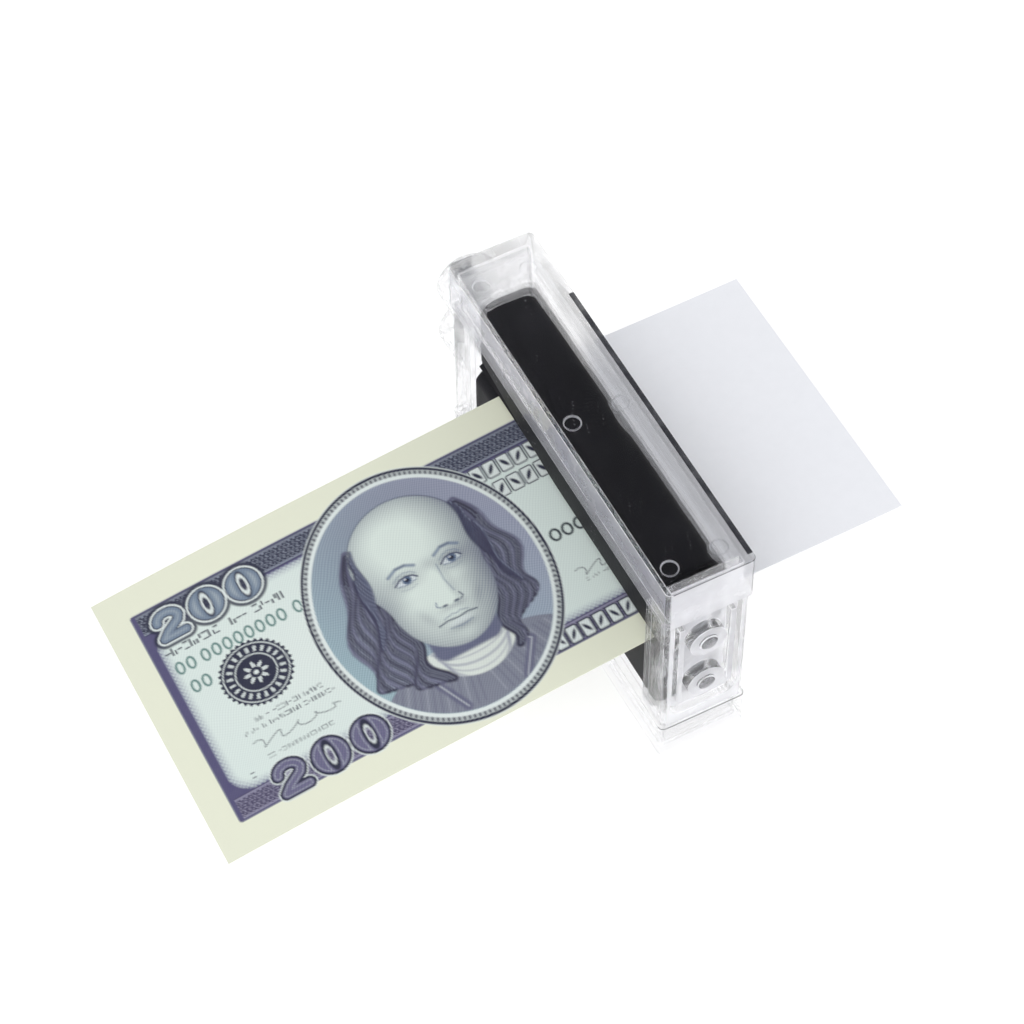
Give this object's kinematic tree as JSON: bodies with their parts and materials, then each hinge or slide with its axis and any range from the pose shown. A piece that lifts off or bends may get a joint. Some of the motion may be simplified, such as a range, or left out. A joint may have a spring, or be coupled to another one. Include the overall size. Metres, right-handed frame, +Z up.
{
  "type": "note roller box",
  "caption": "Clear toy roller box: a black band wound in an S round two knob-turned rollers draws in a blank slip while a printed play note rolls out.",
  "frame": {"origin": "middle of the underside of the base tray, which stands on the table", "axes": "+X along the rollers away from the knobs, -Y is the front where the note comes out, +Z up"},
  "size_m": [0.1039, 0.1506, 0.056],
  "materials": {
    "clear_case": "clear moulded acrylic, polished",
    "clear_frame": "clear moulded acrylic, polished",
    "clear_knob": "clear moulded plastic",
    "clear_disc": "clear moulded plastic",
    "roller_plastic": "milky moulded plastic",
    "black_band": "fine-grained black leatherette, soft sheen",
    "tape": "double-sided tape",
    "printed_note": null,
    "white_slip": "smooth white paper",
    "screw_steel": "plated steel"
  },
  "bodies": {
    "case": {"top_cover": "clear_case", "base_tray": "clear_case", "end_frame_right": "clear_frame", "end_frame_left": "clear_frame", "band_slack": "black_band", "note_still_wound": "printed_note", "blank_slip": "white_slip"},
    "upper_roller": {"upper_tube": "roller_plastic", "upper_drive_plug": "roller_plastic", "upper_end_plug": "roller_plastic", "upper_disc_left": "clear_disc", "upper_disc_right": "clear_disc", "upper_wound_band": "black_band", "upper_band_tape": "tape", "upper_knob": "clear_knob", "upper_knob_screw": "screw_steel"},
    "lower_roller": {"lower_tube": "roller_plastic", "lower_drive_plug": "roller_plastic", "lower_end_plug": "roller_plastic", "lower_disc_left": "clear_disc", "lower_disc_right": "clear_disc", "lower_wound_band": "black_band", "lower_band_tape": "tape", "lower_knob": "clear_knob", "lower_knob_screw": "screw_steel"},
    "note": {"play_note": "printed_note"}
  },
  "joints": [
    {"name": "lower_roller_spin", "type": "hinge", "parent": "case", "child": "lower_roller", "pos_m": [0, 0, 0.021], "axis": [1, 0, 0], "range_deg": [0, 450]},
    {"name": "upper_roller_spin", "type": "hinge", "parent": "case", "child": "upper_roller", "pos_m": [0, 0, 0.035], "axis": [1, 0, 0], "range_deg": [-450, 0]},
    {"name": "note_feed", "type": "slide", "parent": "case", "child": "note", "axis": [0, -0.9914, -0.1305], "range_m": [0, 0.0439]}
  ],
  "couplings": [
    {"joint": "lower_roller_spin", "follows": "note_feed", "rad_per_m": 178.57},
    {"joint": "upper_roller_spin", "follows": "note_feed", "rad_per_m": -178.57}
  ]
}
